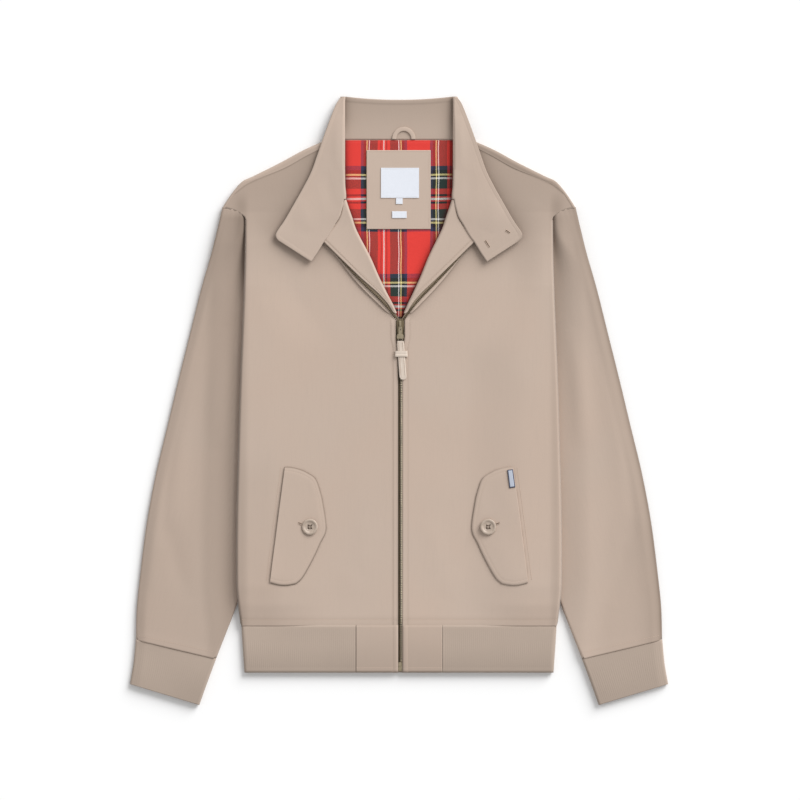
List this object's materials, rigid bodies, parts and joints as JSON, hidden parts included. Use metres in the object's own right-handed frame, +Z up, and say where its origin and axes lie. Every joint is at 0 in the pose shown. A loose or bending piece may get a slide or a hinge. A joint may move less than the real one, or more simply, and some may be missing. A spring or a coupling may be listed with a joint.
{
  "type": "harrington jacket",
  "caption": "Beige zip-front harrington jacket laid flat on its back, with a stand collar and fronts turned out over a tartan lining, slanted flap pockets and rib hem and cuffs.",
  "frame": {"origin": "middle of the box round the jacket, on the surface that it lies on", "axes": "+Z up out of that surface, +Y from hem to collar, +X towards the wearer's left"},
  "size_m": [0.6994, 0.7904, 0.016],
  "materials": {
    "cotton_twill": "stone-beige washed cotton twill",
    "rib_knit": "stretch rib knit, tone in tone",
    "tartan_cotton": "woven cotton tartan, red ground",
    "woven_label": "blank white woven label",
    "zip_tape": "olive brown woven tape",
    "aged_brass": "dull antique brass",
    "button_resin": "semi-matt dyed resin",
    "pull_leather": "matt leather"
  },
  "bodies": {
    "jacket": {"back": "cotton_twill", "back_lining": "tartan_cotton", "collar": "cotton_twill", "collar_button_high": "button_resin", "collar_button_low": "button_resin", "cuff_left": "rib_knit", "cuff_right": "rib_knit", "facing_left": "cotton_twill", "facing_right": "cotton_twill", "flap_button_left": "button_resin", "flap_button_right": "button_resin", "front_left": "cotton_twill", "front_right": "cotton_twill", "hanger_loop": "cotton_twill", "hem_rib": "rib_knit", "hem_tab_left": "cotton_twill", "hem_tab_right": "cotton_twill", "label_patch": "cotton_twill", "main_label": "woven_label", "pocket_flap_left": "cotton_twill", "pocket_flap_right": "cotton_twill", "side_tag": "woven_label", "size_tab": "woven_label", "sleeve_left": "cotton_twill", "sleeve_right": "cotton_twill", "small_label": "woven_label", "zip_bottom_stop": "aged_brass", "zip_chain": "aged_brass", "zip_open_left": "zip_tape", "zip_open_right": "zip_tape", "zip_slider": "aged_brass", "zip_tape_left": "zip_tape", "zip_tape_right": "zip_tape"},
    "zip_pull": {"pull_strap": "pull_leather", "pull_keeper": "pull_leather"}
  },
  "joints": [
    {"name": "zip_pull_hinge", "type": "hinge", "parent": "jacket", "child": "zip_pull", "pos_m": [0.0016, 0.0801, 0.0083], "axis": [-1, 0, 0], "range_deg": [0, 120]}
  ]
}
